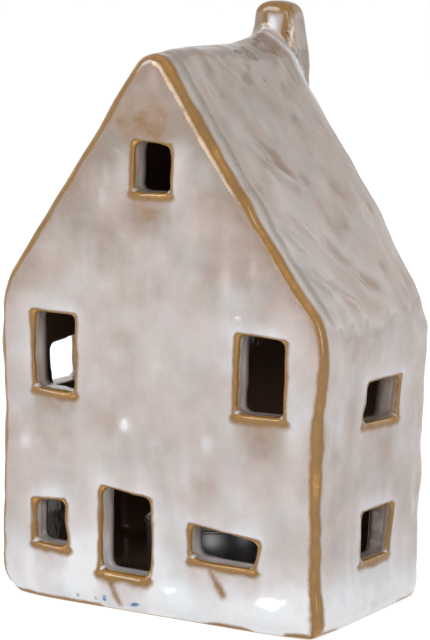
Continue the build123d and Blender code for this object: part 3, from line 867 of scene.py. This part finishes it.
# Cobalt specks on the foot of the front, and a pinhole in the roof: place, radius and colour
specks = [
    (-17.7, -32.6, 3.0, 0.75, "#5D86B2"), (-17.5, -32.5, 4.0, 0.6, "#7E9DC0"),
    (-8.6, -32.5, 2.2, 0.7, "#86A6C6"), (-7.6, -32.5, 2.6, 0.8, "#42699A"),
    (-6.6, -32.5, 2.9, 0.8, "#4F79A8"), (-5.7, -32.5, 3.0, 0.6, "#86A6C6"),
    (-27.5, -32.5, 2.8, 0.8, "#B0B6BE"), (-20.9, -32.5, 2.8, 0.7, "#B4BCC6"),
    (11.4, 10.0, 156.3, 0.8, "#6B6258"),
]
stoneware = glazedStoneware()
for node in claySlabs:
    piece = partClay(node, stoneware)
    print("parted", node, len(piece.data.polygons), "faces")
bpy.data.meshes.remove(blankMesh)


# The tealight: pressed cup, wax, braided wick and its clip

tealight = {
    "wall": 0.25, "rimBead": 0.55, "footBevel": 0.9, "baseDish": 0.5, "taper": 0.35, "sides": 96,
    "waxDish": 0.9, "waxEdge": 0.6,
    "clipWall": 0.3, "clipNeck": 1.6, "clipSides": 48,
    "wickRadius": 0.72, "wickSides": 12, "wickSteps": 30,
    "wickLobes": 3, "wickLobeDepth": 0.16, "wickTwist": 17.0,  # strands, and degrees a step
    "wickBendFrom": 0.62,  # share of its length that stands straight
    "wickHalf": 0.85, "wickEnd": 0.2,
}


def spinProfile(name, points, centre, sides):  # spins a closed outline of radius and height
    shape = bmesh.new()
    corners = [shape.verts.new((r * mm, 0, h * mm)) for r, h in points]
    outline = [shape.edges.new(pair) for pair in zip(corners, corners[1:] + corners[:1])]
    bmesh.ops.spin(
        shape, geom=corners + outline, cent=(0, 0, 0), axis=(0, 0, 1),
        angle=2 * pi, steps=sides, use_merge=True,
    )
    bmesh.ops.remove_doubles(shape, verts=shape.verts, dist=1e-6)
    flat = [edge for edge in shape.edges if not edge.link_faces]
    bmesh.ops.delete(shape, geom=flat, context="EDGES")
    bmesh.ops.translate(shape, verts=shape.verts, vec=Vector((centre[0], centre[1], 0)) * mm)
    bmesh.ops.recalc_face_normals(shape, faces=shape.faces)
    for face in shape.faces:
        face.smooth = True
    return objectFrom(name, meshFrom(shape, name))


def dressTealight(piece, node, material):
    piece.data.materials.append(material)
    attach(piece, "tealight")
    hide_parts(node)


def fineMaterial(name, noise, values, stretch=None, rough=None, colours=None, bump=None):
    # Its noise, of that scale and detail, varies the roughness, the colour or the relief
    material, tree = newMaterial(name)
    place = addNode(tree, "TexCoord", output="Object")
    if stretch:
        place = addNode(tree, "Mapping", {"Scale": stretch, "Vector": place})
    grain = addNode(tree, "TexNoise", {"Scale": noise[0], "Detail": noise[1], "Vector": place})
    inputs = dict(values)
    if rough:  # the least and the swing
        inputs["Roughness"] = addNode(
            tree, "Math", {0: grain, 1: rough[1], 2: rough[0]}, operation="MULTIPLY_ADD"
        )
    if colours:
        inputs["Base Color"] = rampOf(tree, grain, colours)
    if bump:  # strength and metres
        inputs["Normal"] = addNode(tree, "Bump", {"Strength": bump[0], "Distance": bump[1], "Height": grain})
    addNode(tree, "OutputMaterial", {"Surface": addNode(tree, "BsdfPrincipled", inputs)})
    return material


def boxOf(node):
    low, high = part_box(node)
    return [v / mm for v in low], [v / mm for v in high]


def bead(centreR, centreZ, radius, start, stop, steps):  # an arc in the section, degrees from outwards
    turns = [radians(start + (stop - start) * i / steps) for i in range(steps + 1)]
    return [(centreR + radius * cos(a), centreZ + radius * sin(a)) for a in turns]


cupLow, cupHigh = boxOf("candle_cup")
centre = ((cupLow[0] + cupHigh[0]) / 2, (cupLow[1] + cupHigh[1]) / 2)
cupRadius = (cupHigh[0] - cupLow[0]) / 2
base, rim = cupLow[2], cupHigh[2]
wall, roll = tealight["wall"], tealight["rimBead"]
side = cupRadius - roll - wall
footR = side - tealight["taper"]
dish, bevel = base + tealight["baseDish"], tealight["footBevel"]
cupSection = (
    [(0, dish), (footR - 3.0, dish), (footR - 2.4, base)]
    + bead(footR - bevel, base + bevel, bevel, -90, 0, 5)
    + [(footR + 0.12, base + 5.0), (footR + 0.22, base + 10.0), (side, rim - 2 * roll)]
    + bead(side + wall + 0.02, rim - roll, roll, -130, 160, 14)
    + [(side - wall, rim - 2 * roll), (footR - wall, base + 1.2), (footR - 1.2 - wall, base + 0.45)]
    + [(footR - 2.6, base + 0.3), (footR - 3.2, dish + wall), (0, dish + wall)]
)
# Deep-drawn aluminium foil: bright and mirror-like with faint upright drawing lines
alu = {"colour": "#9C9C9F", "line": 0.0004, "lineLong": 0.02, "rough": (0.38, 0.10), "bump": (0.15, 0.0001)}
aluminium = fineMaterial(
    "pressed_aluminium", (1.0, 2.0), {"Base Color": hexColour(alu["colour"]), "Metallic": 1.0},
    stretch=(1 / alu["line"], 1 / alu["line"], 1 / alu["lineLong"]), rough=alu["rough"], bump=alu["bump"],
)
cup = spinProfile("tealight_cup", cupSection, centre, tealight["sides"])
dressTealight(cup, "candle_cup", aluminium)

waxTop = boxOf("candle_wax")[1][2]
waxR = side - wall - 0.03
waxFoot = footR - wall - 0.03
waxSection = (
    [(0, base + 0.9), (waxFoot - 2.4, base + 0.9), (waxFoot - 0.2, base + 1.6)]
    + [(waxR - 0.1, waxTop - tealight["waxEdge"]), (waxR - 0.12, waxTop), (waxR - 0.6, waxTop - 0.12)]
    + [(waxR - 1.8, waxTop - 0.38), (waxR * 0.6, waxTop - 0.55), (waxR * 0.3, waxTop - 0.75)]
    + [(3.0, waxTop - tealight["waxDish"]), (1.6, waxTop - tealight["waxDish"] + 0.35), (0, waxTop - 0.45)]
)
# Pressed paraffin: satin, slightly see-through, with a fine crystalline bloom
wax = {"colours": [(0.35, "#E6E0D2"), (0.65, "#F1EDE3")], "grain": 0.0016, "bump": (0.2, 0.0002)}
paraffin = fineMaterial(
    "paraffin_wax", (1 / wax["grain"], 3.0),
    {"Roughness": 0.42, "IOR": 1.43, "Subsurface Weight": 0.4, "Subsurface Scale": 0.002},
    colours=wax["colours"], bump=wax["bump"],
)
waxPiece = spinProfile("tealight_wax", waxSection, centre, tealight["sides"])
dressTealight(waxPiece, "candle_wax", paraffin)

clipLow, clipHigh = boxOf("wick_clip")
clipR, clipFoot, clipTop = (clipHigh[0] - clipLow[0]) / 2, clipLow[2], clipHigh[2]
clipWall, neck = tealight["clipWall"], tealight["clipNeck"]
clipSection = [
    (neck - clipWall, clipFoot + clipWall), (clipR - 0.6, clipFoot + clipWall), (clipR, clipFoot),
    (clipR, clipFoot + clipWall), (clipR - 0.5, clipFoot + 2 * clipWall),
    (neck + 0.5, clipFoot + 2 * clipWall), (neck, clipFoot + 1.1), (neck - 0.15, clipTop),
    (neck - clipWall - 0.1, clipTop),
]
# Tin-plated steel strip: grey and softly bright, a little clouded
tinned = {"colour": "#B8B8B6", "rough": (0.2, 0.25)}
tin = fineMaterial(
    "tinned_steel", (900.0, 2.0), {"Base Color": hexColour(tinned["colour"]), "Metallic": 1.0},
    rough=tinned["rough"],
)
clip = spinProfile("tealight_wick_clip", clipSection, centre, tealight["clipSides"])
dressTealight(clip, "wick_clip", tin)

wickLow, wickHigh = boxOf("wick")
wick = bmesh.new()
wickSides, steps, bendFrom = tealight["wickSides"], tealight["wickSteps"], tealight["wickBendFrom"]
lobes = bmesh.ops.create_circle(
    wick, cap_ends=True, radius=tealight["wickRadius"] * mm, segments=wickSides
)["verts"]
for number, vertex in enumerate(lobes):
    vertex.co *= 1.0 + tealight["wickLobeDepth"] * cos(tealight["wickLobes"] * 2 * pi * number / wickSides)
wickLength = wickHigh[2] - wickLow[2] - 2 * tealight["wickEnd"]
leanAt = [max(0.0, (i / steps - bendFrom) / (1 - bendFrom)) for i in range(steps + 1)]
lean = wickHigh[0] - centre[0] - tealight["wickHalf"]
wickFoot = Vector((centre[0], centre[1], wickLow[2] + tealight["wickEnd"]))
bmesh.ops.translate(wick, verts=wick.verts, vec=wickFoot * mm)
tip = wick.faces[:]
for i in range(steps):
    grown = bmesh.ops.extrude_face_region(wick, geom=tip)["geom"]
    ring = [g for g in grown if isinstance(g, bmesh.types.BMVert)]
    tip = [g for g in grown if isinstance(g, bmesh.types.BMFace)]
    shift = (lean * (leanAt[i + 1] ** 2 - leanAt[i] ** 2), 0, wickLength / steps)
    bmesh.ops.translate(wick, verts=ring, vec=Vector(shift) * mm)
    middle = sum((v.co for v in ring), Vector()) / len(ring)
    bmesh.ops.rotate(
        wick, verts=ring, cent=middle, matrix=Matrix.Rotation(radians(tealight["wickTwist"]), 3, "Z")
    )
bmesh.ops.recalc_face_normals(wick, faces=wick.faces)
for face in wick.faces:
    face.smooth = len(face.verts) == 4
# Braided cotton dipped in wax: off-white and dull, with the braid's shadowed grooves
braid = {"colours": [(0.3, "#B9AE97"), (0.7, "#E4DDCB")], "bump": (0.5, 0.0002)}
cotton = fineMaterial(
    "waxed_cotton", (2500.0, 2.0), {"Roughness": 0.75}, colours=braid["colours"], bump=braid["bump"]
)
wickPiece = objectFrom("tealight_wick", meshFrom(wick, "tealight_wick"))
dressTealight(wickPiece, "wick", cotton)
print("tealight made")


# Plain floor, soft lights and a white surround

studio = {
    "floorSize": 40.0,  # metres
    "floorColour": "#F4F4F4",
    "floorGlow": 0.62,
    "worldLight": 0.42,
    "aimHeight": 85.0,
    "softboxes": {  # degrees from -Y towards +X, degrees up, metres away, metres wide and high, watts
        "frontBox": (10, 19, 1.1, (0.36, 0.36), 1.6),
        "leftBox": (-35, 25, 1.2, (0.46, 0.44), 4.7),
        "rimBox": (63, 8, 0.8, (0.20, 0.40), 0.9),
        "rightBox": (70, 20, 1.4, (0.20, 0.80), 3.0),
        "backRightBox": (150, 25, 1.6, (0.90, 0.90), 2.4),
    },
}
floor = bmesh.new()
bmesh.ops.create_circle(floor, cap_ends=True, segments=64, radius=studio["floorSize"] / 2)
floorMesh = meshFrom(floor, "studio_floor")


def seenRays(tree):  # 1 for rays that see it straight, in a gloss or through the surface
    seen = addNode(tree, "LightPath", output="Is Camera Ray")
    for kind in ("Is Glossy Ray", "Is Transmission Ray"):
        ray = addNode(tree, "LightPath", output=kind)
        seen = addNode(tree, "Math", {0: seen, 1: ray}, operation="MAXIMUM")
    return seen


floorMaterial, floorTree = newMaterial("pale_floor")
glow = addNode(floorTree, "Math", {0: seenRays(floorTree), 1: studio["floorGlow"]}, operation="MULTIPLY")
matte = addNode(floorTree, "BsdfDiffuse", {"Color": hexColour(studio["floorColour"])})
shine = addNode(floorTree, "Emission", {"Color": (1, 1, 1, 1), "Strength": glow})
both = addNode(floorTree, "AddShader", {0: matte, 1: shine})
addNode(floorTree, "OutputMaterial", {"Surface": both})
floorMesh.materials.append(floorMaterial)
objectFrom("studio_floor", floorMesh)

world = bpy.data.worlds.new("studioWorld")
world.use_nodes = True
worldTree = world.node_tree
worldTree.nodes.clear()
strength = addNode(
    worldTree, "MapRange", {"To Min": studio["worldLight"], "To Max": 1.0, "Value": seenRays(worldTree)}
)
surround = addNode(worldTree, "Background", {"Color": (1, 1, 1, 1), "Strength": strength})
addNode(worldTree, "OutputWorld", {"Surface": surround})
scene.world = world

aim = Vector((0, 0, studio["aimHeight"])) * mm
for name, (azimuth, elevation, far, (wide, tall), watts) in studio["softboxes"].items():
    lamp = bpy.data.lights.new(name, "AREA")
    lamp.shape = "RECTANGLE"
    lamp.size, lamp.size_y, lamp.energy = wide, tall, watts
    box = bpy.data.objects.new(name, lamp)
    scene.collection.objects.link(box)
    facing = Matrix.Rotation(radians(azimuth), 4, "Z") @ Matrix.Rotation(radians(90 - elevation), 4, "X")
    box.matrix_world = Matrix.Translation(aim + facing.to_3x3() @ Vector((0, 0, far))) @ facing
print("stage lit")
